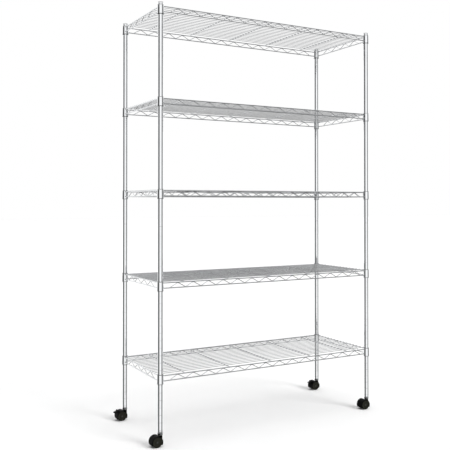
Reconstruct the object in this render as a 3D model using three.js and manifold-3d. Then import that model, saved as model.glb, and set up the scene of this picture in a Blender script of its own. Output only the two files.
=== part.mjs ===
// Five-shelf wire rack on four swivel casters, as separate solids that can be taken apart.
// Millimetres, +Z up. X runs along the shelves, the front is -Y, and the floor is z = 0.
// The origin is on the floor, under the middle of the bounding box.

import * as THREE from 'three';
import { mergeVertices } from 'three/addons/utils/BufferGeometryUtils.js';
import Module from 'manifold-3d';

const wasm = await Module();
wasm.setup();

// ---- Driving dimensions -------------------------------------------------------------------

const clearance = 0.3; // gap between pieces that touch
const mergeTolerance = 0.01; // detail smaller than this is merged away
const roundSides = 12; // facets of posts, collars and small pins

// Posts
const postSpacingX = 909;
const postSpacingY = 336.4;
const postRadius = 9.5;
const postWall = 1;
const groovePitch = 25.4; // the posts are grooved at this pitch, and the shelves clip into grooves
const postBottom = 39.6;
const postJoint = postBottom + 28 * groovePitch; // where the upper section screws in
const insertDepth = 14;
const studRadius = 4;
const studLength = 12.5;
const capRim = 1;
const capPlugDepth = 9.5;
const overallHeight = 1524;

// Shelves
const shelfCount = 5;
const shelfGap = 12.5 * groovePitch;
const lowestShelf = 239.5; // height of the lowest shelf's top rail
const railRadius = 2;
const railOutboard = 3; // rails run this far outside the line of the posts
const trussDrop = 18; // from the top rail's centre to the bottom rail's
const trussEndDepth = 8.8; // trusses end this far from the post's axis, inside the collar
const openingEndDepth = 10.2; // and their outermost openings end here, also inside it
const zigzagPeriod = 60;
const zigzagWidth = 2.4;
const zigzagInset = 0.8; // the zigzag's bends sit this far inside the rails' centres
const longTrussPeriods = 14;
const shortTrussPeriods = 4;
const deckWire = 2.4;
const deckWireCount = 15;
const deckWirePitch = 21;
const deckTop = 3.4; // above the top rail's centre
const deckOverhang = 1; // deck wires stop this far inside the short rails' outer faces
const deckEndStrip = 3.4;
const ribCount = 5;
const ribSpacing = 3 * zigzagPeriod;
const ribWidth = 3.2;

// Corner collars and the plastic sleeves wedged inside them, measured from the top rail
const collarTop = deckTop;
const collarBottom = -27;
const collarBoreTop = 10.8; // radius of the tapered bore at the top
const collarBoreBottom = 11.4;
const collarWall = 0.9;
const sleeveTop = 4.8;
const sleeveBottom = -28.2;
const sleeveBore = postRadius + clearance;
const sleeveSlit = 1;

// Casters
const wheelRadius = 17.5;
const wheelSides = 16;
const wheelInner = 4.9; // distance of the wheel's inner face from the caster's middle plane
const wheelOuter = 15.5;
const wheelHubFace = 14.1;
const wheelRimStart = 6.2; // the raised rim starts this far inside the tread's corners
const wheelRimCrest = 1.6; // and its crest is this far inside them
const casterTrail = 16; // the axle lies this far behind the swivel axis
const axleRadius = 2.4;
const axleHeadRadius = 3.6;
const axleHeadInner = 14.4;
const axleHeadOuter = 15.2;
const runningGap = 0.1;
const hoodRadius = 20.7;
const hoodInner = 18.8;
const hoodHalfWidth = 15.6;
const hoodWebHalfWidth = 4.4;
const hoodEnd = THREE.MathUtils.degToRad(-30); // the hood ends this far round from the front
const wheelSpaceSides = 32;
const bossRadius = 7.4;
const bossBottom = 19.5;
const bossTop = 37.4;
const pintleRadius = 3.1;
const pintleBottom = 22;
const stemFlangeRadius = 6.3;
const stemTop = 53.1;

// Brake levers, on the rear casters
const leverAngle = THREE.MathUtils.degToRad(125); // place of the pivot round the axle
const leverPivotRadius = 23.4;
const leverHub = 2.6;
const leverWaist = 7; // the hub blends into the flat pedal at this distance from the pivot
const leverReach = 16.7;
const leverHalfThickness = 1;
const leverDroop = THREE.MathUtils.degToRad(18); // slope of the pedal when the brake is off
const leverHalfWidth = 8.7;
const leverNose = 5.4;
const leverNoseHalfWidth = 1.2;
const leverNoseAngle = THREE.MathUtils.degToRad(67); // from the pedal to the braking nose
const trunnionRadius = 1.6;
const lugHalfWidth = 11;
const lugRadius = 3.4;
const lugFootHalfWidth = 4.7;
const lugFootDepth = 3.9; // the lugs run this far below the pivot, into the hood
const noseSlotHalfAngle = THREE.MathUtils.degToRad(14);
const noseSlotOffset = THREE.MathUtils.degToRad(4); // the slot's middle, round from the pivot

// ---- Solids -------------------------------------------------------------------------------

// Turns a closed three.js geometry into a manifold solid, with its faces pointing out.
function toSolid(geometry) {
  const bare = geometry.clone();
  bare.deleteAttribute('normal');
  bare.deleteAttribute('uv');
  const merged = mergeVertices(bare, 1e-4);
  const index = merged.index.array;
  const triangles = [];
  for (let i = 0; i < index.length; i += 3) {
    const [a, b, c] = [index[i], index[i + 1], index[i + 2]];
    if (a !== b && b !== c && c !== a) triangles.push(a, b, c);
  }
  const vertProperties = new Float32Array(merged.attributes.position.array);
  if (signedVolume(vertProperties, triangles) < 0) triangles.reverse();
  const triVerts = new Uint32Array(triangles);
  return new wasm.Manifold(new wasm.Mesh({ numProp: 3, vertProperties, triVerts }));
}

function signedVolume(positions, triangles) {
  const [a, b, c] = [new THREE.Vector3(), new THREE.Vector3(), new THREE.Vector3()];
  let volume = 0;
  for (let i = 0; i < triangles.length; i += 3) {
    a.fromArray(positions, 3 * triangles[i]);
    b.fromArray(positions, 3 * triangles[i + 1]);
    c.fromArray(positions, 3 * triangles[i + 2]);
    volume += a.dot(b.cross(c)) / 6;
  }
  return volume;
}

// Turns a manifold solid back into a three.js geometry, with its flat faces merged.
function toGeometry(solid) {
  const mesh = solid.asOriginal().simplify(mergeTolerance).getMesh();
  const geometry = new THREE.BufferGeometry();
  geometry.setAttribute('position', new THREE.BufferAttribute(mesh.vertProperties, 3));
  geometry.setIndex(new THREE.BufferAttribute(mesh.triVerts, 1));
  return geometry;
}

// A profile of [radius, height] points turned about the Z axis. A ring's profile is closed.
function turned(profile, sides, isRing = false) {
  const points = profile.map(([radius, height]) => new THREE.Vector2(radius, height));
  if (isRing) points.push(points[0].clone());
  return new THREE.LatheGeometry(points, sides).rotateX(Math.PI / 2);
}

// The same, about a line along Y through the origin, with a flat facet facing down.
function turnedAlongY(profile, sides, isRing = false) {
  const points = profile.map(([radius, y]) => new THREE.Vector2(radius, y));
  if (isRing) points.push(points[0].clone());
  return new THREE.LatheGeometry(points, sides).rotateY(Math.PI / sides);
}

// A shape drawn in X and Z, given its thickness along Y, from -halfWidth to +halfWidth.
function slab(shape, halfWidth, curveSegments = 8) {
  const settings = { depth: 2 * halfWidth, bevelEnabled: false, curveSegments };
  const geometry = new THREE.ExtrudeGeometry(shape, settings);
  return geometry.rotateX(Math.PI / 2).translate(0, halfWidth, 0);
}

function box(from, to) {
  const size = to.map((value, axis) => value - from[axis]);
  const middle = to.map((value, axis) => (value + from[axis]) / 2);
  return new THREE.BoxGeometry(...size).translate(...middle);
}

// Radius of a corner of a polygon whose flats lie at the given radius.
function cornerRadius(flatRadius, sides) {
  return flatRadius / Math.cos(Math.PI / sides);
}

// ---- Shelf --------------------------------------------------------------------------------

function boreRadius(height) {
  const slope = (collarBoreTop - collarBoreBottom) / (collarTop - collarBottom);
  return collarBoreTop + slope * (height - collarTop);
}

function polygon(points) {
  return new THREE.Shape(points.map(([x, z]) => new THREE.Vector2(x, z)));
}

// A truss along X: two rails with a zigzag wire between them. Its ends run into the collars.
// It starts as a panel, and the openings between its wires are cut out one by one.
function trussSolid(halfLength, openingEnd, periods) {
  const low = [-halfLength, -railRadius, -trussDrop - railRadius];
  let truss = toSolid(box(low, [halfLength, railRadius, railRadius]));
  const cut = (points) => {
    truss = truss.subtract(toSolid(slab(polygon(points), 2 * railRadius)));
  };
  const half = zigzagPeriod / 2;
  const rise = (trussDrop - 2 * zigzagInset) / half;
  const apex = zigzagInset + (zigzagWidth / 2) * Math.hypot(1, rise);
  const upper = -railRadius;
  const lower = -trussDrop + railRadius;
  const corner = (trussDrop - apex - railRadius) / rise; // half the width of an opening
  const start = (-periods * zigzagPeriod) / 2;
  for (let i = 1; i < 2 * periods; i += 1) {
    const middle = start + i * half;
    const isUnderPeak = i % 2 === 1;
    const flat = isUnderPeak ? lower : upper;
    const tip = isUnderPeak ? -apex : -trussDrop + apex;
    cut([[middle - corner, flat], [middle + corner, flat], [middle, tip]]);
  }
  const foot = start - (apex - railRadius) / rise;
  const head = foot + (upper - lower) / rise;
  for (const side of [-1, 1]) {
    cut([
      [side * openingEnd, lower],
      [-side * foot, lower],
      [-side * head, upper],
      [side * openingEnd, upper],
    ]);
  }
  return truss;
}

// Parallel deck wires joined by a strip along each short rail.
function deckSolid() {
  const bottom = deckTop - deckWire;
  const halfX = postSpacingX / 2 + railOutboard + railRadius - deckOverhang;
  const innerX = halfX - deckEndStrip;
  const halfY = ((deckWireCount - 1) * deckWirePitch + deckWire) / 2;
  let deck = toSolid(box([-halfX, -halfY, bottom], [-innerX, halfY, deckTop]));
  deck = deck.add(toSolid(box([innerX, -halfY, bottom], [halfX, halfY, deckTop])));
  for (let i = 0; i < deckWireCount; i += 1) {
    const y = -halfY + i * deckWirePitch;
    deck = deck.add(toSolid(box([-halfX, y, bottom], [halfX, y + deckWire, deckTop])));
  }
  return deck;
}

// One welded shelf, with its top rail at z = 0.
function shelfGeometry() {
  const halfX = postSpacingX / 2;
  const halfY = postSpacingY / 2;
  const [longEnd, shortEnd] = [halfX - trussEndDepth, halfY - trussEndDepth];
  const longTruss = trussSolid(longEnd, halfX - openingEndDepth, longTrussPeriods);
  const shortTruss = trussSolid(shortEnd, halfY - openingEndDepth, shortTrussPeriods);
  let shelf = deckSolid();
  for (const side of [-1, 1]) {
    shelf = shelf.add(longTruss.translate([0, side * (halfY + railOutboard), 0]));
    const turnedTruss = shortTruss.rotate([0, 0, 90]);
    shelf = shelf.add(turnedTruss.translate([side * (halfX + railOutboard), 0, 0]));
  }

  // Ribs cross under the deck from the front rail to the rear rail.
  const ribTop = deckTop - deckWire - clearance;
  const ribHalfLength = halfY + railOutboard;
  for (let i = 0; i < ribCount; i += 1) {
    const x = (i - (ribCount - 1) / 2) * ribSpacing;
    const from = [x - ribWidth / 2, -ribHalfLength, ribTop - 2 * railRadius];
    const to = [x + ribWidth / 2, ribHalfLength, ribTop];
    shelf = shelf.add(toSolid(box(from, to)));
  }

  // Tapered collars at the corners, bored last so that the rails stop at the collar wall.
  const collar = toSolid(turned([
    [0, collarBottom],
    [boreRadius(collarBottom) + collarWall, collarBottom],
    [boreRadius(collarTop) + collarWall, collarTop],
    [0, collarTop],
  ], roundSides));
  const bore = toSolid(turned([
    [0, collarBottom - 1],
    [boreRadius(collarBottom - 1), collarBottom - 1],
    [boreRadius(collarTop + 1), collarTop + 1],
    [0, collarTop + 1],
  ], roundSides));
  for (const corner of corners) {
    shelf = shelf.add(collar.translate([corner.x, corner.y, 0]));
  }
  for (const corner of corners) {
    shelf = shelf.subtract(bore.translate([corner.x, corner.y, 0]));
  }
  return toGeometry(shelf);
}

// The sleeve that grips a post groove. One slit lets it open round the post.
function sleeveGeometry() {
  const ring = toSolid(turned([
    [sleeveBore, sleeveBottom],
    [boreRadius(sleeveBottom) - clearance, sleeveBottom],
    [boreRadius(sleeveTop) - clearance, sleeveTop],
    [sleeveBore, sleeveTop],
  ], roundSides, true));
  const reach = collarBoreBottom + collarWall;
  const slit = box([0, -sleeveSlit / 2, sleeveBottom - 1], [reach, sleeveSlit / 2, sleeveTop + 1]);
  return toGeometry(ring.subtract(toSolid(slit)));
}

// ---- Posts --------------------------------------------------------------------------------

// Lower post section: a tube with a threaded insert at each end.
function lowerPostGeometry() {
  const inside = postRadius - postWall;
  const hole = studRadius + clearance;
  const top = postJoint - clearance;
  return toGeometry(toSolid(turned([
    [hole, postBottom],
    [postRadius, postBottom],
    [postRadius, top],
    [hole, top],
    [hole, top - insertDepth],
    [inside, top - insertDepth],
    [inside, postBottom + insertDepth],
    [hole, postBottom + insertDepth],
  ], roundSides, true)));
}

// Upper post section: a tube whose closed lower end carries the joining stud.
function upperPostGeometry() {
  const inside = postRadius - postWall;
  const top = overallHeight - capRim - clearance;
  return toGeometry(toSolid(turned([
    [0, postJoint - studLength],
    [studRadius, postJoint - studLength],
    [studRadius, postJoint],
    [postRadius, postJoint],
    [postRadius, top],
    [inside, top],
    [inside, postJoint + insertDepth],
    [0, postJoint + insertDepth],
  ], roundSides)));
}

// Press-in plug that closes the top of a post.
function capGeometry() {
  const plug = postRadius - postWall - clearance;
  const seat = overallHeight - capRim;
  return toGeometry(toSolid(turned([
    [0, seat - capPlugDepth],
    [plug, seat - capPlugDepth],
    [plug, seat],
    [postRadius, seat],
    [postRadius - capRim, overallHeight],
    [0, overallHeight],
  ], roundSides)));
}

// ---- Casters, each with its swivel axis on x = y = 0 and trailing towards -X ---------------

function stemGeometry() {
  const flangeTop = postBottom - clearance;
  const flangeBottom = bossTop + clearance;
  return toGeometry(toSolid(turned([
    [0, pintleBottom],
    [pintleRadius, pintleBottom],
    [pintleRadius, flangeBottom],
    [stemFlangeRadius, flangeBottom],
    [stemFlangeRadius, flangeTop],
    [studRadius, flangeTop],
    [studRadius, stemTop],
    [0, stemTop],
  ], roundSides)));
}

// Part of a ring round the axle, between two radii and two angles, drawn in X and Z.
function ringSector(inner, outer, from, to) {
  const shape = new THREE.Shape();
  shape.absarc(-casterTrail, wheelRadius, outer, from, to, false);
  shape.absarc(-casterTrail, wheelRadius, inner, to, from, true);
  return shape;
}

function leverPivot() {
  return {
    x: -casterTrail + leverPivotRadius * Math.cos(leverAngle),
    z: wheelRadius + leverPivotRadius * Math.sin(leverAngle),
  };
}

// The hood over both wheels, with a web between them and a boss for the stem's pintle.
function hoodGeometry(hasBrake) {
  const end = Math.PI - hoodEnd;
  const fender = slab(ringSector(hoodInner, hoodRadius, hoodEnd, end), hoodHalfWidth);
  const webShape = new THREE.Shape();
  webShape.absarc(-casterTrail, wheelRadius, (hoodInner + hoodRadius) / 2, hoodEnd, end, false);
  let boss = toSolid(turned([
    [0, bossBottom],
    [bossRadius, bossBottom],
    [bossRadius, bossTop],
    [0, bossTop],
  ], roundSides));
  for (const side of [-1, 1]) {
    const [near, far] = [hoodWebHalfWidth * side, hoodRadius * side];
    const profile = [[0, near], [hoodInner, near], [hoodInner, far], [0, far]];
    const wheelSpace = turnedAlongY(profile, wheelSpaceSides);
    boss = boss.subtract(toSolid(wheelSpace.translate(-casterTrail, 0, wheelRadius)));
  }
  let hood = toSolid(fender).add(toSolid(slab(webShape, hoodWebHalfWidth))).add(boss);

  const pintleHole = cornerRadius(pintleRadius + runningGap, roundSides);
  hood = hood.subtract(toSolid(turned([
    [0, pintleBottom - 1],
    [pintleHole, pintleBottom - 1],
    [pintleHole, bossTop + 1],
    [0, bossTop + 1],
  ], roundSides)));
  const axleHole = cornerRadius(axleRadius + runningGap, roundSides);
  const axleBore = pinAlongY(axleHole, hoodWebHalfWidth + 1);
  hood = hood.subtract(toSolid(axleBore.translate(-casterTrail, 0, wheelRadius)));
  if (hasBrake) hood = addBrakeMount(hood);
  return toGeometry(hood);
}

function pinAlongY(radius, halfLength) {
  const profile = [[0, -halfLength], [radius, -halfLength], [radius, halfLength], [0, halfLength]];
  return turnedAlongY(profile, roundSides);
}

// Opens a slot for the brake's nose and adds the two lugs that hold the lever.
function addBrakeMount(hood) {
  const slotHalfWidth = leverHalfWidth + clearance;
  const slotMiddle = leverAngle + noseSlotOffset;
  const slotStart = slotMiddle - noseSlotHalfAngle;
  const slotEnd = slotMiddle + noseSlotHalfAngle;
  const slotShape = ringSector(wheelRadius, leverPivotRadius, slotStart, slotEnd);
  const pivot = leverPivot();

  const lugShape = new THREE.Shape();
  lugShape.moveTo(lugFootHalfWidth, -lugFootDepth);
  lugShape.lineTo(lugRadius, 0);
  lugShape.absarc(0, 0, lugRadius, 0, Math.PI, false);
  lugShape.lineTo(-lugFootHalfWidth, -lugFootDepth);
  const outward = Math.PI / 2 - leverAngle;
  const lugs = slab(lugShape, lugHalfWidth, 5).rotateY(outward).translate(pivot.x, 0, pivot.z);
  const gapLow = [pivot.x - hoodRadius, -slotHalfWidth, pivot.z - hoodRadius];
  const gapHigh = [pivot.x + hoodRadius, slotHalfWidth, pivot.z + hoodRadius];
  const lugPair = toSolid(lugs).subtract(toSolid(box(gapLow, gapHigh)));

  const pinHole = pinAlongY(cornerRadius(trunnionRadius + runningGap, roundSides), lugHalfWidth + 1);
  return hood
    .add(lugPair)
    .subtract(toSolid(slab(slotShape, slotHalfWidth, 3)))
    .subtract(toSolid(pinHole.translate(pivot.x, 0, pivot.z)));
}

// Brake pedal with its nose and trunnions, with the brake off.
function leverGeometry() {
  const pedal = new THREE.Shape();
  pedal.moveTo(0, leverHub);
  pedal.lineTo(leverWaist, leverHalfThickness);
  pedal.lineTo(leverReach, leverHalfThickness);
  pedal.lineTo(leverReach, -leverHalfThickness);
  pedal.lineTo(leverWaist, -leverHalfThickness);
  pedal.lineTo(0, -leverHub);
  pedal.absarc(0, 0, leverHub, -Math.PI / 2, Math.PI / 2, true);
  const nose = polygon([
    [0, -leverNoseHalfWidth],
    [leverNose, -leverNoseHalfWidth],
    [leverNose, leverNoseHalfWidth],
    [0, leverNoseHalfWidth],
  ]);
  const slope = Math.PI + leverDroop;
  const pedalSlab = slab(pedal, leverHalfWidth, 5).rotateY(-slope);
  const noseSlab = slab(nose, leverHalfWidth).rotateY(-slope - leverNoseAngle);
  const trunnions = pinAlongY(trunnionRadius, lugHalfWidth);
  const pivot = leverPivot();
  const lever = toSolid(pedalSlab).add(toSolid(noseSlab)).add(toSolid(trunnions));
  return toGeometry(lever.translate([pivot.x, 0, pivot.z]));
}

// One wheel, on the +Y side of the caster's middle plane, with its axis on the origin.
function wheelGeometry() {
  const bore = cornerRadius(axleRadius + runningGap, wheelSides);
  const tread = cornerRadius(wheelRadius, wheelSides);
  return toGeometry(toSolid(turnedAlongY([
    [bore, wheelInner],
    [tread, wheelInner],
    [tread, wheelHubFace],
    [tread - wheelRimCrest, wheelOuter],
    [tread - wheelRimStart, wheelHubFace],
    [bore, wheelHubFace],
  ], wheelSides, true)));
}

// Headed axle pin through the hood's web and both wheels.
function axleGeometry() {
  return toGeometry(toSolid(turnedAlongY([
    [0, -axleHeadOuter],
    [axleHeadRadius, -axleHeadOuter],
    [axleHeadRadius, -axleHeadInner],
    [axleRadius, -axleHeadInner],
    [axleRadius, axleHeadInner],
    [axleHeadRadius, axleHeadInner],
    [axleHeadRadius, axleHeadOuter],
    [0, axleHeadOuter],
  ], roundSides)));
}

// ---- Assembly -----------------------------------------------------------------------------

const corners = [
  { name: 'front_left', x: -postSpacingX / 2, y: -postSpacingY / 2, hasBrake: false },
  { name: 'front_right', x: postSpacingX / 2, y: -postSpacingY / 2, hasBrake: false },
  { name: 'rear_left', x: -postSpacingX / 2, y: postSpacingY / 2, hasBrake: true },
  { name: 'rear_right', x: postSpacingX / 2, y: postSpacingY / 2, hasBrake: true },
];

const finishes = {
  chrome: { color: 0xd4d6d8, roughness: 0.15, metalness: 1 },
  sleevePlastic: { color: 0x1a1a1a, roughness: 0.6, metalness: 0 },
  capPlastic: { color: 0xa4a6a6, roughness: 0.5, metalness: 0 },
  zincSteel: { color: 0x9a9c9c, roughness: 0.4, metalness: 1 },
  blackSteel: { color: 0x1c1c1c, roughness: 0.5, metalness: 0.5 },
  hoodPlastic: { color: 0x121312, roughness: 0.45, metalness: 0 },
  wheelPlastic: { color: 0x2b2c27, roughness: 0.55, metalness: 0 },
};

function addMesh(parent, name, geometry, finish) {
  const material = new THREE.MeshStandardMaterial({ ...finishes[finish], flatShading: true });
  const mesh = new THREE.Mesh(geometry, material);
  mesh.name = name;
  parent.add(mesh);
  return mesh;
}

function addCaster(rack, corner, shapes) {
  const caster = new THREE.Group();
  caster.position.set(corner.x, corner.y, 0);
  rack.add(caster);
  const name = `caster_${corner.name}`;
  addMesh(caster, `${name}_stem`, shapes.stem, 'zincSteel');
  addMesh(caster, `${name}_hood`, corner.hasBrake ? shapes.brakedHood : shapes.hood, 'hoodPlastic');
  if (corner.hasBrake) addMesh(caster, `${name}_brake_lever`, shapes.lever, 'hoodPlastic');

  const axleGroup = new THREE.Group();
  axleGroup.position.set(-casterTrail, 0, wheelRadius);
  caster.add(axleGroup);
  addMesh(axleGroup, `${name}_axle`, shapes.axle, 'blackSteel');
  addMesh(axleGroup, `${name}_wheel_back`, shapes.wheel, 'wheelPlastic');
  addMesh(axleGroup, `${name}_wheel_front`, shapes.wheel, 'wheelPlastic').rotation.z = Math.PI;
}

function buildRack() {
  const shapes = {
    shelf: shelfGeometry(),
    sleeve: sleeveGeometry(),
    lowerPost: lowerPostGeometry(),
    upperPost: upperPostGeometry(),
    cap: capGeometry(),
    stem: stemGeometry(),
    hood: hoodGeometry(false),
    brakedHood: hoodGeometry(true),
    lever: leverGeometry(),
    wheel: wheelGeometry(),
    axle: axleGeometry(),
  };
  const rack = new THREE.Group();
  for (const corner of corners) {
    const post = new THREE.Group();
    post.position.set(corner.x, corner.y, 0);
    rack.add(post);
    addMesh(post, `post_${corner.name}_lower`, shapes.lowerPost, 'chrome');
    addMesh(post, `post_${corner.name}_upper`, shapes.upperPost, 'chrome');
    addMesh(post, `post_${corner.name}_cap`, shapes.cap, 'capPlastic');
    addCaster(rack, corner, shapes);
  }
  for (let level = 0; level < shelfCount; level += 1) {
    const height = lowestShelf + level * shelfGap;
    addMesh(rack, `shelf_${level + 1}`, shapes.shelf, 'chrome').position.z = height;
    for (const corner of corners) {
      const name = `sleeve_${level + 1}_${corner.name}`;
      const sleeve = addMesh(rack, name, shapes.sleeve, 'sleevePlastic');
      sleeve.position.set(corner.x, corner.y, height);
    }
  }
  return rack;
}

// The casters trail to one side, so the rack is shifted to put its box over the origin.
const rack = buildRack();
const extent = new THREE.Box3().setFromObject(rack);
rack.position.x = -(extent.min.x + extent.max.x) / 2;

const group = new THREE.Group();
group.add(rack);

export default group;
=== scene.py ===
# Chrome wire shelving rack on black twin-wheel casters: the looks, built round the CAD frame.
# Metres, +Z up, in the CAD's own frame. The front is -Y and the casters trail towards -X.

import math

import bmesh
import bpy
from mathutils import Matrix, Vector


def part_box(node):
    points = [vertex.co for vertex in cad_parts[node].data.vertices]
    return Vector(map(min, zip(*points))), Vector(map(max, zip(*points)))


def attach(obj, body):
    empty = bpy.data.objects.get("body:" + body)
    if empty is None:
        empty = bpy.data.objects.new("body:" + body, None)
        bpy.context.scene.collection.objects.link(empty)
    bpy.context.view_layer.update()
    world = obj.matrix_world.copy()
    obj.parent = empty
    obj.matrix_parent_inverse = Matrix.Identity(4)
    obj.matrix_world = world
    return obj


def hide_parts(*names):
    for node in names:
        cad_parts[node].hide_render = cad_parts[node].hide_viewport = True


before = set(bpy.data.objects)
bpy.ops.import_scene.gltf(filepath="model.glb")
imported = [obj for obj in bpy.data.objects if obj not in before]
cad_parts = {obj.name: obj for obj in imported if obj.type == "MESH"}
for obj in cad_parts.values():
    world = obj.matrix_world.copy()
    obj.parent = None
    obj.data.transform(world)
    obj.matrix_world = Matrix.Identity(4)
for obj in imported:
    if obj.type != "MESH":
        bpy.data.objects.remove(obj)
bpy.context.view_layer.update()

MM = 0.001
CORNERS = ("front_left", "front_right", "rear_left", "rear_right")
SHELVES = ("shelf_1", "shelf_2", "shelf_3", "shelf_4", "shelf_5")

# ---- Sizes, as in the CAD part. Heights on a shelf are measured from its top rail. ----------

GROOVE_PITCH = 25.4 * MM
FIRST_GROOVE = 16.1 * MM
POST_RADIUS = 9.5 * MM
POST_WALL = 1 * MM
CAP_RIM = 1 * MM
RAIL_RADIUS = 2 * MM
RAIL_OUTBOARD = 3 * MM
RAIL_END = 10.2 * MM  # rails end this far from the post's axis, inside the collar wall
TRUSS_DROP = 18 * MM
ZIGZAG_PERIOD = 60 * MM
ZIGZAG_RADIUS = 1.2 * MM
ZIGZAG_INSET = 0.8 * MM
LONG_PERIODS = 14
SHORT_PERIODS = 4
DECK_TOP = 3.4 * MM
DECK_WIRE_RADIUS = 1.2 * MM
DECK_WIRE_COUNT = 15
DECK_WIRE_PITCH = 21 * MM
RIB_COUNT = 5
RIB_SPACING = 3 * ZIGZAG_PERIOD
RIB_RADIUS = 1.8 * MM
COLLAR_TOP = DECK_TOP
COLLAR_BOTTOM = -27 * MM
COLLAR_WALL = 0.9 * MM
BORE_TOP = 10.8 * MM
BORE_BOTTOM = 11.4 * MM
SLEEVE_TOP = 4.8 * MM
SLEEVE_BOTTOM = -28.2 * MM
SLEEVE_SLIT = 1 * MM
CLEARANCE = 0.3 * MM
WHEEL_RADIUS = 17.5 * MM
WHEEL_INNER = 4.9 * MM
WHEEL_HUB_FACE = 14.1 * MM
WHEEL_OUTER = 15.5 * MM
CASTER_TRAIL = 16 * MM
AXLE_RADIUS = 2.4 * MM
AXLE_HEAD_RADIUS = 3.6 * MM
AXLE_HEAD_INNER = 14.4 * MM
AXLE_HEAD_OUTER = 15.2 * MM
HOOD_RADIUS = 20.7 * MM
HOOD_INNER = 18.8 * MM
HOOD_HALF_WIDTH = 15.6 * MM
HOOD_WEB_HALF_WIDTH = 4.4 * MM
HOOD_START = -30  # angles round the axle are in degrees, from +X upwards
HOOD_END = 210
BOSS_RADIUS = 7.4 * MM
BOSS_BOTTOM = 19.5 * MM
BOSS_TOP = 37.4 * MM
PINTLE_RADIUS = 3.1 * MM
PINTLE_BOTTOM = 22 * MM
STEM_RADIUS = 4 * MM
STEM_FLANGE = 6.3 * MM
STEM_FLANGE_BOTTOM = 37.7 * MM
STEM_FLANGE_TOP = 39.3 * MM
RUNNING_GAP = 0.1 * MM
LEVER_ANGLE = 125
LEVER_PIVOT_RADIUS = 23.4 * MM
LEVER_HUB = 2.6 * MM
LEVER_HALF_WIDTH = 8.7 * MM
LEVER_DROOP = 18
LEVER_NOSE = 5.4 * MM
LEVER_NOSE_ANGLE = 67
TRUNNION_RADIUS = 1.6 * MM
LUG_HALF_WIDTH = 11 * MM
LUG_RADIUS = 3.4 * MM
LUG_FOOT_HALF_WIDTH = 4.7 * MM
LUG_FOOT_DEPTH = 3.9 * MM
SLOT_OFFSET = 4  # degrees round from the pivot to the middle of the nose's slot
SLOT_HALF_ANGLE = 14


def middle(node):
    low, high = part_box(node)
    return (low + high) / 2


posts = {corner: middle(f"post_{corner}_lower").xy for corner in CORNERS}
rack_middle = sum((posts[corner] for corner in CORNERS), Vector((0, 0))) / len(CORNERS)
half_x = (posts["front_right"].x - posts["front_left"].x) / 2
half_y = (posts["rear_left"].y - posts["front_left"].y) / 2


def rail_height(shelf):
    """Height of a shelf's top rail."""
    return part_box(shelf)[1].z - DECK_TOP


# ---- Mesh building -------------------------------------------------------------------------


class Shape:
    """Collects closed tubes and turned solids into one mesh."""

    def __init__(self):
        self.points = []
        self.faces = []

    def ring(self, centre, across, up, radius, sides):
        """Adds a circle of points and returns the index of its first."""
        first = len(self.points)
        for i in range(sides):
            angle = 2 * math.pi * i / sides
            self.points.append(centre + radius * (math.cos(angle) * across + math.sin(angle) * up))
        return first

    def join(self, first, second, sides):
        for i in range(sides):
            j = (i + 1) % sides
            self.faces.append((first + i, first + j, second + j, second + i))

    def tube(self, path, radius, sides=12):
        """A round wire along a path, with lightly rounded cut ends."""
        chamfer = 0.25  # as a share of the radius
        path = [Vector(p) for p in path]
        tangents = path_tangents(path)
        across = tangents[0].orthogonal().normalized()
        rings = []
        for i, (point, tangent) in enumerate(zip(path, tangents)):
            if i:
                across = (tangents[i - 1].rotation_difference(tangent) @ across).normalized()
            up = tangent.cross(across)
            if i == 0:
                rings.append(self.ring(point, across, up, radius * (1 - chamfer), sides))
                point = point + tangent * radius * chamfer
            last = i == len(path) - 1
            end = point - tangent * radius * chamfer if last else point
            rings.append(self.ring(end, across, up, radius, sides))
            if last:
                rings.append(self.ring(point, across, up, radius * (1 - chamfer), sides))
        for first, second in zip(rings, rings[1:]):
            self.join(first, second, sides)
        self.faces.append(tuple(reversed(range(rings[0], rings[0] + sides))))
        self.faces.append(tuple(range(rings[-1], rings[-1] + sides)))

    def turned(self, profile, sides, centre=(0, 0, 0), closed=False, along_y=False):
        """A profile of (radius, height) points turned about Z, or about Y. Closed means a ring."""
        centre = Vector(centre)
        across, up = Vector((1, 0, 0)), Vector((0, 1, 0))
        axis = Vector((0, 0, 1))
        if along_y:
            across, up, axis = Vector((0, 0, 1)), Vector((1, 0, 0)), Vector((0, 1, 0))
        rings = [self.ring(centre + axis * z, across, up, r, sides) for r, z in profile]
        pairs = list(zip(rings, rings[1:]))
        if closed:
            pairs.append((rings[-1], rings[0]))
        for first, second in pairs:
            self.join(first, second, sides)
        if not closed:
            self.faces.append(tuple(reversed(range(rings[0], rings[0] + sides))))
            self.faces.append(tuple(range(rings[-1], rings[-1] + sides)))

    def mesh(self, name, sharp_degrees=35):
        mesh = bpy.data.meshes.new(name)
        mesh.from_pydata([tuple(p) for p in self.points], [], self.faces)
        return finished(mesh, sharp_degrees)

    def as_object(self, name):
        """The same as a temporary solid, to cut or to join."""
        work = bmesh.new()
        work.from_mesh(self.mesh(name))
        return temporary(name, work)


def finished(mesh, sharp_degrees):
    """Points a mesh's faces outwards and shades it smooth up to an edge angle."""
    work = bmesh.new()
    work.from_mesh(mesh)
    bmesh.ops.recalc_face_normals(work, faces=work.faces)
    work.to_mesh(mesh)
    work.free()
    mesh.polygons.foreach_set("use_smooth", [True] * len(mesh.polygons))
    mesh.set_sharp_from_angle(angle=math.radians(sharp_degrees))
    return mesh


def path_tangents(path):
    tangents = []
    for i in range(len(path)):
        before, after = path[max(i - 1, 0)], path[min(i + 1, len(path) - 1)]
        tangents.append((after - before).normalized())
    return tangents


def piece(name, mesh, material, body, replaced, at):
    """Places a mesh as a piece that rides on a CAD body and stands in for some of its nodes."""
    made = bpy.data.objects.new(name, mesh)
    bpy.context.scene.collection.objects.link(made)
    made.location = at
    if not mesh.materials:  # meshes are shared between pieces
        mesh.materials.append(material)
    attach(made, body)
    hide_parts(*replaced)


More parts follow.
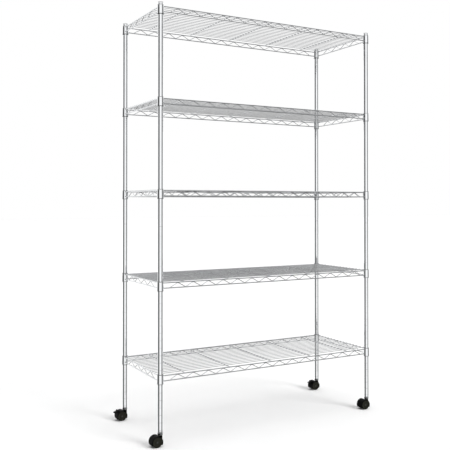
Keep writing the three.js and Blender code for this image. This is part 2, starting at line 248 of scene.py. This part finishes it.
def steps_between(start, end, steps):
    return [start + (end - start) * i / steps for i in range(steps + 1)]


def arc(centre, radius, start, end, steps):
    """Points on an arc, as (radius from the axis, height) pairs; angles in degrees."""
    angles = [math.radians(degrees) for degrees in steps_between(start, end, steps)]
    return [(centre[0] + radius * math.cos(a), centre[1] + radius * math.sin(a)) for a in angles]


# ---- Materials -----------------------------------------------------------------------------

NOISE_LOW, NOISE_HIGH = 0.3, 0.7  # noise values beyond these are held at them


class Nodes:
    """A short way to lay out a node material."""

    def __init__(self, name):
        self.material = bpy.data.materials.new(name)
        self.material.use_nodes = True
        self.tree = self.material.node_tree
        self.shader = self.tree.nodes["Principled BSDF"]
        self.position = self.add("ShaderNodeTexCoord").outputs["Object"]

    def add(self, kind):
        return self.tree.nodes.new(kind)

    def noise(self, scale, detail=3.0, stretch=(1, 1, 1)):
        mapping = self.add("ShaderNodeMapping")
        mapping.inputs["Scale"].default_value = stretch
        self.tree.links.new(self.position, mapping.inputs["Vector"])
        noise = self.add("ShaderNodeTexNoise")
        noise.inputs["Scale"].default_value = scale
        noise.inputs["Detail"].default_value = detail
        self.tree.links.new(mapping.outputs["Vector"], noise.inputs["Vector"])
        return noise.outputs["Fac"]

    def spread(self, value, low, high):
        """Maps a noise value to the range from low to high."""
        node = self.add("ShaderNodeMapRange")
        node.inputs["From Min"].default_value = NOISE_LOW
        node.inputs["From Max"].default_value = NOISE_HIGH
        node.inputs["To Min"].default_value = low
        node.inputs["To Max"].default_value = high
        self.tree.links.new(value, node.inputs["Value"])
        return node.outputs["Result"]

    def tint(self, value, dark, light):
        ramp = self.add("ShaderNodeValToRGB")
        stops = ((NOISE_LOW, dark), (NOISE_HIGH, light))
        for element, (position, colour) in zip(ramp.color_ramp.elements, stops):
            element.position = position
            element.color = (*colour, 1)
        self.tree.links.new(value, ramp.inputs["Fac"])
        return ramp.outputs["Color"]

    def bump(self, height, strength, distance):
        node = self.add("ShaderNodeBump")
        node.inputs["Strength"].default_value = strength
        node.inputs["Distance"].default_value = distance
        self.tree.links.new(height, node.inputs["Height"])
        self.tree.links.new(node.outputs["Normal"], self.shader.inputs["Normal"])

    def drive(self, socket, value):
        self.tree.links.new(value, self.shader.inputs[socket])


def chrome(name, dark, light, roughness):
    """Bright plating over steel: slight cloudiness, fine orange peel, faint handling haze."""
    nodes = Nodes(name)
    nodes.shader.inputs["Metallic"].default_value = 1.0
    nodes.drive("Base Color", nodes.tint(nodes.noise(9.0), dark, light))
    haze = nodes.noise(35.0, 4.0)
    nodes.drive("Roughness", nodes.spread(haze, roughness * 0.7, roughness * 1.5))
    nodes.bump(nodes.noise(600.0, 2.0), 0.05, 0.0002)
    return nodes.material


def plastic(name, dark, light, roughness, specular, grain=900.0, grain_depth=0.0001):
    """Moulded plastic: faint mottling, satin sheen that varies, and a fine spark-eroded grain."""
    nodes = Nodes(name)
    nodes.shader.inputs["Specular IOR Level"].default_value = specular
    nodes.drive("Base Color", nodes.tint(nodes.noise(60.0), dark, light))
    nodes.drive("Roughness", nodes.spread(nodes.noise(120.0), roughness * 0.8, roughness * 1.2))
    nodes.bump(nodes.noise(grain, 2.0), 0.35, grain_depth)
    return nodes.material


def turned_steel(name, dark, light, metallic):
    """Finished turned steel, with fine tool rings."""
    nodes = Nodes(name)
    nodes.shader.inputs["Metallic"].default_value = metallic
    nodes.drive("Base Color", nodes.tint(nodes.noise(200.0), dark, light))
    nodes.drive("Roughness", nodes.spread(nodes.noise(300.0), 0.28, 0.42))
    nodes.bump(nodes.noise(900.0, 2.0, (0.05, 0.05, 1)), 0.3, 0.0002)
    return nodes.material


def floor_paint(name):
    """Pale, even studio floor."""
    nodes = Nodes(name)
    nodes.shader.inputs["Specular IOR Level"].default_value = 0.1
    nodes.drive("Base Color", nodes.tint(nodes.noise(3.0), (0.86, 0.86, 0.86), (0.88, 0.88, 0.88)))
    nodes.drive("Roughness", nodes.spread(nodes.noise(8.0), 0.7, 0.8))
    return nodes.material


POST_CHROME = chrome("post_chrome", (0.60, 0.61, 0.62), (0.66, 0.67, 0.68), 0.07)
WIRE_CHROME = chrome("wire_chrome", (0.51, 0.52, 0.53), (0.58, 0.59, 0.60), 0.10)
COLLAR_CHROME = chrome("collar_chrome", (0.60, 0.61, 0.62), (0.66, 0.67, 0.68), 0.10)
SLEEVE_PLASTIC = plastic("sleeve_plastic", (0.010, 0.010, 0.010), (0.018, 0.018, 0.018), 0.45, 0.5)
CAP_PLASTIC = plastic("cap_plastic", (0.36, 0.36, 0.36), (0.42, 0.42, 0.42), 0.4, 0.5)
HOOD_PLASTIC = plastic(
    "hood_plastic", (0.002, 0.002, 0.002), (0.004, 0.004, 0.004), 0.5, 0.02, 1100.0, 0.00012
)
WHEEL_PLASTIC = plastic(
    "wheel_plastic", (0.016, 0.016, 0.012), (0.022, 0.022, 0.017), 0.5, 0.05, 700.0
)
ZINC = turned_steel("zinc_steel", (0.36, 0.37, 0.38), (0.5, 0.5, 0.49), 1.0)
BLACK_STEEL = turned_steel("black_steel", (0.01, 0.01, 0.01), (0.02, 0.02, 0.02), 0.0)


# ---- Shelves -------------------------------------------------------------------------------


def bore_radius(height):
    share = (height - COLLAR_BOTTOM) / (COLLAR_TOP - COLLAR_BOTTOM)
    return BORE_BOTTOM + (BORE_TOP - BORE_BOTTOM) * share


def zigzag_path(periods):
    """Bends of the rim's zigzag wire as (along, height) points, each bend rounded."""
    bend = 5 * MM
    half = ZIGZAG_PERIOD / 2
    corners = []
    for i in range(2 * periods + 1):
        along = (i - periods) * half
        height = -ZIGZAG_INSET if i % 2 else -TRUSS_DROP + ZIGZAG_INSET
        corners.append(Vector((along, height)))
    path = [corners[0]]
    for before, corner, after in zip(corners, corners[1:], corners[2:]):
        start = corner + (before - corner).normalized() * bend
        end = corner + (after - corner).normalized() * bend
        for i in range(6):
            t = i / 5
            path.append(start.lerp(corner, t).lerp(corner.lerp(end, t), t))
    path.append(corners[-1])
    return path


def rim_mesh():
    """Both rails and the zigzag wire on all four sides, with the top rail at z = 0."""
    shape = Shape()
    sides = (
        (half_x - RAIL_END, half_y + RAIL_OUTBOARD, LONG_PERIODS, False),
        (half_y - RAIL_END, half_x + RAIL_OUTBOARD, SHORT_PERIODS, True),
    )
    for reach, outboard, periods, is_short in sides:
        for side in (-1, 1):
            def place(along, height):
                if is_short:
                    return Vector((side * outboard, along, height))
                return Vector((along, side * outboard, height))

            for height in (0, -TRUSS_DROP):
                shape.tube([place(-reach, height), place(reach, height)], RAIL_RADIUS)
            shape.tube([place(p.x, p.y) for p in zigzag_path(periods)], ZIGZAG_RADIUS, 10)
    return shape.mesh("shelf_rim")


def deck_mesh():
    """Deck wires along the shelf and the ribs under them."""
    shape = Shape()
    reach_x = half_x + RAIL_OUTBOARD + RAIL_RADIUS / 2
    height = DECK_TOP - DECK_WIRE_RADIUS
    for i in range(DECK_WIRE_COUNT):
        y = (i - (DECK_WIRE_COUNT - 1) / 2) * DECK_WIRE_PITCH
        shape.tube([(-reach_x, y, height), (reach_x, y, height)], DECK_WIRE_RADIUS, 10)
    weld_depth = 0.3 * MM
    rib_height = height - DECK_WIRE_RADIUS - RIB_RADIUS + weld_depth
    reach_y = half_y + RAIL_OUTBOARD
    for i in range(RIB_COUNT):
        x = (i - (RIB_COUNT - 1) / 2) * RIB_SPACING
        shape.tube([(x, -reach_y, rib_height), (x, reach_y, rib_height)], RIB_RADIUS)
    return shape.mesh("shelf_deck")


def collar_mesh():
    """The four tapered collars, with rolled edges."""
    shape = Shape()
    lip = 0.5 * MM
    top_outer = bore_radius(COLLAR_TOP) + COLLAR_WALL
    bottom_outer = bore_radius(COLLAR_BOTTOM) + COLLAR_WALL
    profile = [(bore_radius(COLLAR_BOTTOM), COLLAR_BOTTOM)]
    profile += arc((bottom_outer - lip, COLLAR_BOTTOM + lip), lip, -90, 0, 4)
    profile.append((bore_radius(COLLAR_BOTTOM + 2 * lip) + COLLAR_WALL, COLLAR_BOTTOM + 2 * lip))
    profile.append((bore_radius(COLLAR_TOP - 2 * lip) + COLLAR_WALL, COLLAR_TOP - 2 * lip))
    profile += arc((top_outer - lip, COLLAR_TOP - lip), lip, 0, 90, 4)
    profile.append((bore_radius(COLLAR_TOP), COLLAR_TOP))
    for corner in CORNERS:
        centre = (posts[corner] - rack_middle).to_3d()
        shape.turned(profile, 56, centre, closed=True)
    return shape.mesh("shelf_collars")


def build_shelves():
    rim, deck, collars = rim_mesh(), deck_mesh(), collar_mesh()
    for shelf in SHELVES:
        at = (*rack_middle, rail_height(shelf))
        piece(f"{shelf}_rim", rim, WIRE_CHROME, "root", [shelf], at)
        piece(f"{shelf}_deck", deck, WIRE_CHROME, "root", [shelf], at)
        piece(f"{shelf}_collars", collars, COLLAR_CHROME, "root", [shelf], at)


def sleeve_mesh():
    """A tapered sleeve with one slit down it."""
    shape = Shape()
    lip = 0.3 * MM
    top = bore_radius(SLEEVE_TOP) - CLEARANCE
    bottom = bore_radius(SLEEVE_BOTTOM) - CLEARANCE
    inner = POST_RADIUS + CLEARANCE
    profile = [(inner, SLEEVE_BOTTOM)]
    profile += arc((bottom - lip, SLEEVE_BOTTOM + lip), lip, -90, 0, 3)
    profile += arc((top - lip, SLEEVE_TOP - lip), lip, 0, 90, 3)
    profile.append((inner, SLEEVE_TOP))
    shape.turned(profile, 48, closed=True)
    sleeve = shape.as_object("sleeve")
    beyond = 1 * MM
    reach = BORE_BOTTOM + COLLAR_WALL
    low, high = SLEEVE_BOTTOM - beyond, SLEEVE_TOP + beyond
    outline = [(0, low), (reach, low), (reach, high), (0, high)]
    slit = slab_object("slit", outline, -SLEEVE_SLIT / 2, SLEEVE_SLIT / 2)
    combine(sleeve, slit, "DIFFERENCE")
    mesh = finished(sleeve.data, 35)
    bpy.data.objects.remove(sleeve)
    return mesh


def build_sleeves():
    """A plastic sleeve at each corner of each shelf. Its edges show above and below the collar."""
    mesh = sleeve_mesh()
    for level, shelf in enumerate(SHELVES, 1):
        for corner in CORNERS:
            node = f"sleeve_{level}_{corner}"
            at = (*posts[corner], rail_height(shelf))
            piece(f"{node}_moulding", mesh, SLEEVE_PLASTIC, "root", [node], at)


# ---- Posts ---------------------------------------------------------------------------------


def post_mesh(name, bottom, top, first_groove):
    """A tube with a shallow rolled groove at each pitch, and rounded ends."""
    depth = 0.12 * MM
    half_width = 0.6 * MM
    # Rings across a groove, in half widths. The outer two keep its shading off the plain tube.
    rings = (-1.5, -1, -0.5, 0, 0.5, 1, 1.5)
    lip = 0.3 * MM
    inner = POST_RADIUS - POST_WALL
    profile = [(inner, bottom)]
    profile += arc((POST_RADIUS - lip, bottom + lip), lip, -90, 0, 3)
    height = first_groove
    while height < top - 2 * half_width - lip:
        if height > bottom + 2 * half_width + lip:
            for share in rings:
                dip = depth * (1 + math.cos(math.pi * max(-1, min(share, 1)))) / 2
                profile.append((POST_RADIUS - dip, height + half_width * share))
        height += GROOVE_PITCH
    profile += arc((POST_RADIUS - lip, top - lip), lip, 0, 90, 3)
    profile.append((inner, top))
    shape = Shape()
    shape.turned(profile, 40, closed=True)
    return shape.mesh(name, 50)


def cap_mesh():
    """Press-in plug with a domed head."""
    low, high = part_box("post_front_left_cap")
    plug = POST_RADIUS - POST_WALL - CLEARANCE
    seat = high.z - CAP_RIM
    profile = [(plug - CAP_RIM, low.z), (plug, low.z + CAP_RIM)]
    profile += [(plug, seat), (POST_RADIUS - 0.2 * MM, seat)]
    profile += arc((POST_RADIUS - CAP_RIM, seat), CAP_RIM, 15, 80, 4)
    profile += [(POST_RADIUS * 0.5, high.z - 0.05 * MM), (0.5 * MM, high.z)]
    shape = Shape()
    shape.turned(profile, 40)
    return shape.mesh("post_cap")


def build_posts():
    low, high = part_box("post_front_left_lower")
    first = low.z + FIRST_GROOVE
    joint = high.z
    upper_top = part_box("post_front_left_upper")[1].z
    lower = post_mesh("post_lower", low.z, joint, first)
    upper = post_mesh("post_upper", joint + CLEARANCE, upper_top, first)
    cap = cap_mesh()
    for corner in CORNERS:
        at = (*posts[corner], 0)
        node = f"post_{corner}"
        tubes = (("lower", lower), ("upper", upper))
        for part, mesh in tubes:
            name = f"{node}_{part}"
            piece(f"{name}_tube", mesh, POST_CHROME, "root", [name], at)
        piece(f"{node}_cap_plug", cap, CAP_PLASTIC, "root", [f"{node}_cap"], at)


# ---- Casters -------------------------------------------------------------------------------

AXLE = Vector((-CASTER_TRAIL, 0, WHEEL_RADIUS))
LEVER_OUTWARD = Matrix.Rotation(-math.radians(LEVER_ANGLE), 3, "Y") @ Vector((1, 0, 0))
LEVER_PIVOT = AXLE + LEVER_PIVOT_RADIUS * LEVER_OUTWARD


def round_axle(radius, degrees):
    """A point in X and Z, at a radius and an angle round the axle."""
    angle = math.radians(degrees)
    return (AXLE.x + radius * math.cos(angle), AXLE.z + radius * math.sin(angle))


def slab_object(name, outline, low_y, high_y):
    """A temporary solid: an outline in X and Z, given its thickness along Y."""
    work = bmesh.new()
    front = [work.verts.new((x, low_y, z)) for x, z in outline]
    back = [work.verts.new((x, high_y, z)) for x, z in outline]
    work.faces.new(front)
    work.faces.new(list(reversed(back)))
    for i in range(len(outline)):
        j = (i + 1) % len(outline)
        work.faces.new((front[i], back[i], back[j], front[j]))
    bmesh.ops.recalc_face_normals(work, faces=work.faces)
    return temporary(name, work)


def turned_object(name, profile, centre, along_y=False, sides=48):
    """A temporary turned solid."""
    shape = Shape()
    shape.turned(profile, sides, centre, along_y=along_y)
    return shape.as_object(name)


def temporary(name, work):
    mesh = bpy.data.meshes.new(name)
    work.to_mesh(mesh)
    work.free()
    made = bpy.data.objects.new(name, mesh)
    bpy.context.scene.collection.objects.link(made)
    return made


def combine(base, tool, operation):
    """Joins or cuts base with tool, and removes tool."""
    modifier = base.modifiers.new("cut", "BOOLEAN")
    modifier.operation = operation
    modifier.solver = "EXACT"
    modifier.object = tool
    apply_modifiers(base)
    bpy.data.objects.remove(tool)


def apply_modifiers(target):
    graph = bpy.context.evaluated_depsgraph_get()
    mesh = bpy.data.meshes.new_from_object(target.evaluated_get(graph))
    target.modifiers.clear()
    target.data = mesh


def softened(target, width):
    """Rounds a temporary solid's edges and returns its mesh."""
    sharp_degrees = 40
    modifier = target.modifiers.new("round", "BEVEL")
    modifier.width = width
    modifier.segments = 3
    modifier.limit_method = "ANGLE"
    modifier.angle_limit = math.radians(sharp_degrees)
    modifier.harden_normals = False
    apply_modifiers(target)
    mesh = target.data
    bpy.data.objects.remove(target)
    return finished(mesh, sharp_degrees)


def hood_mesh(has_brake):
    """Hood over the wheels, the web between them and the boss that takes the stem."""
    span = steps_between(HOOD_START, HOOD_END, 48)
    outer = [round_axle(HOOD_RADIUS, a) for a in span]
    inner = [round_axle(HOOD_INNER, a) for a in reversed(span)]
    hood = slab_object("hood", outer + inner, -HOOD_HALF_WIDTH, HOOD_HALF_WIDTH)
    web = [round_axle((HOOD_RADIUS + HOOD_INNER) / 2, a) for a in span]
    combine(hood, slab_object("web", web, -HOOD_WEB_HALF_WIDTH, HOOD_WEB_HALF_WIDTH), "UNION")

    boss = turned_object("boss", [(BOSS_RADIUS, BOSS_BOTTOM), (BOSS_RADIUS, BOSS_TOP)], (0, 0, 0))
    for side in (-1, 1):
        near, far = side * HOOD_WEB_HALF_WIDTH, side * HOOD_RADIUS
        space = [(HOOD_INNER, near), (HOOD_INNER, far)]
        combine(boss, turned_object("space", space, AXLE, True, 96), "DIFFERENCE")
    combine(hood, boss, "UNION")
    beyond = 1 * MM
    pintle_hole = PINTLE_RADIUS + RUNNING_GAP
    hole = [(pintle_hole, PINTLE_BOTTOM - beyond), (pintle_hole, BOSS_TOP + beyond)]
    combine(hood, turned_object("hole", hole, (0, 0, 0)), "DIFFERENCE")
    combine(hood, cross_hole(AXLE, AXLE_RADIUS, HOOD_WEB_HALF_WIDTH + beyond), "DIFFERENCE")
    if has_brake:
        add_brake_mount(hood)
    return softened(hood, 0.45 * MM)


def cross_hole(centre, radius, half_length):
    """A cutting tool for a pin's hole along Y."""
    radius += RUNNING_GAP
    return turned_object("hole", [(radius, -half_length), (radius, half_length)], centre, True, 32)


def add_brake_mount(hood):
    """Lugs for the lever and a slot for its nose."""
    slot_half = LEVER_HALF_WIDTH + CLEARANCE
    radial = Vector((LEVER_OUTWARD.x, LEVER_OUTWARD.z))
    tangent = Vector((radial.y, -radial.x))
    pivot = Vector((LEVER_PIVOT.x, LEVER_PIVOT.z))
    outline = [pivot + tangent * LUG_FOOT_HALF_WIDTH - radial * LUG_FOOT_DEPTH]
    for x, z in arc((0, 0), LUG_RADIUS, 0, 180, 16):
        outline.append(pivot + tangent * x + radial * z)
    outline.append(pivot - tangent * LUG_FOOT_HALF_WIDTH - radial * LUG_FOOT_DEPTH)
    for side in (-1, 1):
        low, high = sorted((side * slot_half, side * LUG_HALF_WIDTH))
        combine(hood, slab_object("lug", outline, low, high), "UNION")
    slot_middle = LEVER_ANGLE + SLOT_OFFSET
    span = steps_between(slot_middle - SLOT_HALF_ANGLE, slot_middle + SLOT_HALF_ANGLE, 12)
    slot = [round_axle(WHEEL_RADIUS, a) for a in span]
    slot += [round_axle(LEVER_PIVOT_RADIUS, a) for a in reversed(span)]
    combine(hood, slab_object("slot", slot, -slot_half, slot_half), "DIFFERENCE")
    pin_hole = cross_hole(LEVER_PIVOT, TRUNNION_RADIUS, LUG_HALF_WIDTH + CLEARANCE)
    combine(hood, pin_hole, "DIFFERENCE")


def lever_mesh():
    """Brake pedal: hub, tapering pedal with a thumb ridge, nose and trunnions."""
    slope = math.radians(180 + LEVER_DROOP)
    forward = Vector((math.cos(slope), math.sin(slope)))
    upward = Vector((forward.y, -forward.x))
    pivot = Vector((LEVER_PIVOT.x, LEVER_PIVOT.z))

    def at(along, height):
        return pivot + forward * along * MM + upward * height * MM

    # The pedal's outline from the hub's top, out to its tip and back underneath, in mm.
    pedal = ((7, 1.0), (14.2, 0.75), (15.2, 1.0), (16.5, 0.85))
    pedal += ((16.7, 0.2), (16.3, -0.7), (15.1, -1.0), (7, -1.0))
    outline = [at(along, height) for along, height in pedal]
    for x, z in arc((0, 0), LEVER_HUB, -75, -285, 12):
        outline.append(pivot + forward * x + upward * z)
    lever = slab_object("lever", outline, -LEVER_HALF_WIDTH, LEVER_HALF_WIDTH)

    nose_angle = slope + math.radians(LEVER_NOSE_ANGLE)
    down = Vector((math.cos(nose_angle), math.sin(nose_angle)))
    across = Vector((down.y, -down.x))
    shoulder, thick, tip = LEVER_NOSE - 0.7 * MM, 1.2 * MM, 0.6 * MM
    nose = [across * thick, down * shoulder + across * thick, down * LEVER_NOSE + across * tip]
    nose += [down * LEVER_NOSE - across * tip, down * shoulder - across * thick, -across * thick]
    nose = [pivot + point for point in nose]
    nose_half = LEVER_HALF_WIDTH - 0.1 * MM
    combine(lever, slab_object("nose", nose, -nose_half, nose_half), "UNION")
    pin = [(TRUNNION_RADIUS, -LUG_HALF_WIDTH), (TRUNNION_RADIUS, LUG_HALF_WIDTH)]
    combine(lever, turned_object("pin", pin, LEVER_PIVOT, True, 32), "UNION")
    return softened(lever, 0.3 * MM)


def wheel_mesh():
    """Solid wheel on the +Y side: rounded tread, raised rim and a dished hub face."""
    edge = 1.3 * MM
    bore = AXLE_RADIUS + RUNNING_GAP
    face = WHEEL_HUB_FACE
    profile = [(bore, WHEEL_INNER)]
    profile += arc((WHEEL_RADIUS - edge, WHEEL_INNER + edge), edge, -90, 0, 5)
    profile += arc((WHEEL_RADIUS - edge, WHEEL_OUTER - edge), edge, 0, 90, 6)
    # (radius, depth below the hub face) across the dish, in mm
    dish = ((14.3, -1.4), (13.6, -1.1), (13.1, 0), (12.6, 0.5), (10.4, 0.8), (7.3, 0.7), (6.9, 0.4))
    dish += ((6.4, 0.1), (2.8, 0.1), (2.5, 0.4))
    profile += [(radius * MM, face - depth * MM) for radius, depth in dish]
    shape = Shape()
    shape.turned(profile, 96, closed=True, along_y=True)
    return shape.mesh("wheel", 30)


def axle_mesh():
    """Headed axle pin with domed heads."""
    dome = AXLE_HEAD_OUTER - AXLE_HEAD_INNER
    half = [(AXLE_HEAD_RADIUS, AXLE_HEAD_INNER), (AXLE_HEAD_RADIUS, AXLE_HEAD_INNER + dome * 0.5)]
    half.append((AXLE_HEAD_RADIUS * 0.78, AXLE_HEAD_OUTER - dome * 0.15))
    half.append((AXLE_HEAD_RADIUS * 0.4, AXLE_HEAD_OUTER))
    profile = [(r, -y) for r, y in reversed(half)]
    profile += [(AXLE_RADIUS, -AXLE_HEAD_INNER), (AXLE_RADIUS, AXLE_HEAD_INNER)]
    profile += half
    shape = Shape()
    shape.turned(profile, 40, along_y=True)
    return shape.mesh("axle", 30)


def stem_mesh():
    """Threaded stem, flange and pintle."""
    low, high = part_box("caster_front_left_stem")
    chamfer = 0.4 * MM
    flange_low, flange_high = STEM_FLANGE_BOTTOM, STEM_FLANGE_TOP
    profile = [(PINTLE_RADIUS - chamfer, low.z), (PINTLE_RADIUS, low.z + chamfer)]
    profile += [(PINTLE_RADIUS, flange_low), (STEM_FLANGE - chamfer, flange_low)]
    profile += [(STEM_FLANGE, flange_low + chamfer), (STEM_FLANGE, flange_high - chamfer)]
    profile.append((STEM_FLANGE - chamfer, flange_high))
    thread_pitch, root = 1.25 * MM, STEM_RADIUS - 0.7 * MM
    height = STEM_FLANGE_TOP
    while height < high.z - 2 * thread_pitch:
        profile += [(root, height), (STEM_RADIUS, height + thread_pitch / 2)]
        height += thread_pitch
    profile += [(root, height), (root - chamfer, high.z)]
    shape = Shape()
    shape.turned(profile, 32)
    return shape.mesh("stem", 25)


def build_casters():
    plain_hood, braked_hood = hood_mesh(False), hood_mesh(True)
    wheel, axle, stem, lever = wheel_mesh(), axle_mesh(), stem_mesh(), lever_mesh()
    front_wheel = wheel.copy()
    front_wheel.transform(Matrix.Rotation(math.pi, 4, "Z"))
    for corner in CORNERS:
        body = f"caster_{corner}"
        has_brake = corner.startswith("rear")
        at = posts[corner].to_3d()
        piece(f"{body}_stem_turned", stem, ZINC, "root", [f"{body}_stem"], at)
        hood = braked_hood if has_brake else plain_hood
        node = f"{body}_hood"
        piece(f"{node}_moulding", hood, HOOD_PLASTIC, body, [node], at)
        node = f"{body}_axle"
        piece(f"{node}_pin", axle, BLACK_STEEL, body, [node], at + AXLE)
        for side, mesh in (("front", front_wheel), ("back", wheel)):
            node = f"{body}_wheel_{side}"
            place = at + AXLE
            piece(f"{node}_moulding", mesh, WHEEL_PLASTIC, node, [node], place)
        if has_brake:
            node = f"{body}_brake_lever"
            piece(f"{node}_moulding", lever, HOOD_PLASTIC, node, [node], at)


# ---- Studio --------------------------------------------------------------------------------

CAMERA_FROM_RACK = Vector((-1.4188, -2.3665, 0.8317))
CAMERA_YAW = math.radians(29.128)
CAMERA_PITCH = math.radians(0.575)
CAMERA_LENS = 55.676
CAMERA_SHIFT = (-0.0039, -0.06454)


def build_camera():
    data = bpy.data.cameras.new("camera")
    data.sensor_width = 36
    data.lens = CAMERA_LENS
    data.shift_x, data.shift_y = CAMERA_SHIFT
    camera = bpy.data.objects.new("camera", data)
    bpy.context.scene.collection.objects.link(camera)
    camera.location = rack_middle.to_3d() + CAMERA_FROM_RACK
    camera.rotation_euler = (math.pi / 2 + CAMERA_PITCH, 0, -CAMERA_YAW)
    bpy.context.scene.camera = camera


def build_floor():
    size = 30
    work = bmesh.new()
    bmesh.ops.create_grid(work, x_segments=8, y_segments=8, size=size)
    floor = temporary("floor", work)
    floor.data.materials.append(floor_paint("floor_paint"))
    floor.visible_glossy = False


# Brightness of the studio round the rack: (degrees from the camera's direction, positive to its
# right; level). A dark flag stands to the left and a grey one to the right.
STUDIO_BANDS = (
    (-180, 1.0), (-108, 1.0), (-96, 0.11), (-32, 0.11), (-24, 1.0),
    (48, 1.0), (56, 0.22), (110, 0.26), (120, 1.0),
)
CEILING_EDGE = (0.35, 0.5)
CEILING_LEVEL = 0.8
GROUND_EDGE = (-0.31, -0.43)
GROUND_LEVEL = 0.15
FILL_LEVEL = 0.27
STUDIO_STRENGTH = 1.5


def build_world():
    """A white studio with darker sides, so that bright metal has something to show."""
    world = bpy.data.worlds.new("studio")
    bpy.context.scene.world = world
    world.use_nodes = True
    tree = world.node_tree
    tree.nodes.clear()
    add, link = tree.nodes.new, tree.links.new

    def math_node(operation, first, second=None):
        node = add("ShaderNodeMath")
        node.operation = operation
        for socket, value in zip(node.inputs, (first, second)):
            if value is None:
                continue
            if isinstance(value, (int, float)):
                socket.default_value = value
            else:
                link(value, socket)
        return node.outputs[0]

    direction = add("ShaderNodeTexCoord").outputs["Generated"]
    split = add("ShaderNodeSeparateXYZ")
    link(direction, split.inputs[0])
    # Azimuth as a share of a turn, starting opposite the photographer's side.
    turn = math_node("ARCTAN2", split.outputs["Y"], split.outputs["X"])
    towards_camera = math.atan2(CAMERA_FROM_RACK.y, CAMERA_FROM_RACK.x)
    share = math_node("DIVIDE", math_node("SUBTRACT", turn, towards_camera), 2 * math.pi)
    share = math_node("FRACT", math_node("ADD", share, 1.5))

    bands = add("ShaderNodeValToRGB")
    bands.color_ramp.interpolation = "LINEAR"
    link(share, bands.inputs["Fac"])
    ramp = bands.color_ramp.elements
    while len(ramp) < len(STUDIO_BANDS):
        ramp.new(0.5)
    for element, (degrees, level) in zip(ramp, STUDIO_BANDS):
        element.position = 0.5 + degrees / 360
        element.color = (level, level, level, 1)

    def mix(factor, first, second):
        node = add("ShaderNodeMix")
        node.data_type = "RGBA"
        link(factor, node.inputs["Factor"])
        for key, value in (("A", first), ("B", second)):
            if isinstance(value, (int, float)):
                node.inputs[key].default_value = (value, value, value, 1)
            else:
                link(value, node.inputs[key])
        return node.outputs["Result"]

    def ramp_up(start, end):
        node = add("ShaderNodeMapRange")
        link(split.outputs["Z"], node.inputs["Value"])
        node.inputs["From Min"].default_value = start
        node.inputs["From Max"].default_value = end
        return node.outputs["Result"]

    studio = mix(ramp_up(*CEILING_EDGE), bands.outputs["Color"], CEILING_LEVEL)
    studio = mix(ramp_up(*GROUND_EDGE), studio, GROUND_LEVEL)
    # Metal shows the studio, the camera sees plain white, and the rest is lit by an even fill.
    path = add("ShaderNodeLightPath").outputs
    lit = mix(path["Is Glossy Ray"], FILL_LEVEL, studio)
    seen = mix(path["Is Camera Ray"], lit, 1 / STUDIO_STRENGTH)
    background = add("ShaderNodeBackground")
    link(seen, background.inputs["Color"])
    background.inputs["Strength"].default_value = STUDIO_STRENGTH
    link(background.outputs[0], add("ShaderNodeOutputWorld").inputs["Surface"])


def sun(name, direction, softness, strength):
    """Even light from far away, kept out of the metal's reflections."""
    data = bpy.data.lights.new(name, "SUN")
    data.angle = math.radians(softness)
    data.energy = strength
    light = bpy.data.objects.new(name, data)
    bpy.context.scene.collection.objects.link(light)
    light.rotation_euler = (-Vector(direction)).to_track_quat("-Z", "Y").to_euler()
    light.visible_glossy = False


def build_lights():
    sun("overhead", (0, 0, 1), 40, 1.6)
    sun("key", (0.47, -0.88, 0.6), 24, 2.0)


bpy.context.scene.view_settings.view_transform = "Standard"
build_camera()
build_world()
build_floor()
build_lights()
build_shelves()
build_sleeves()
build_posts()
build_casters()
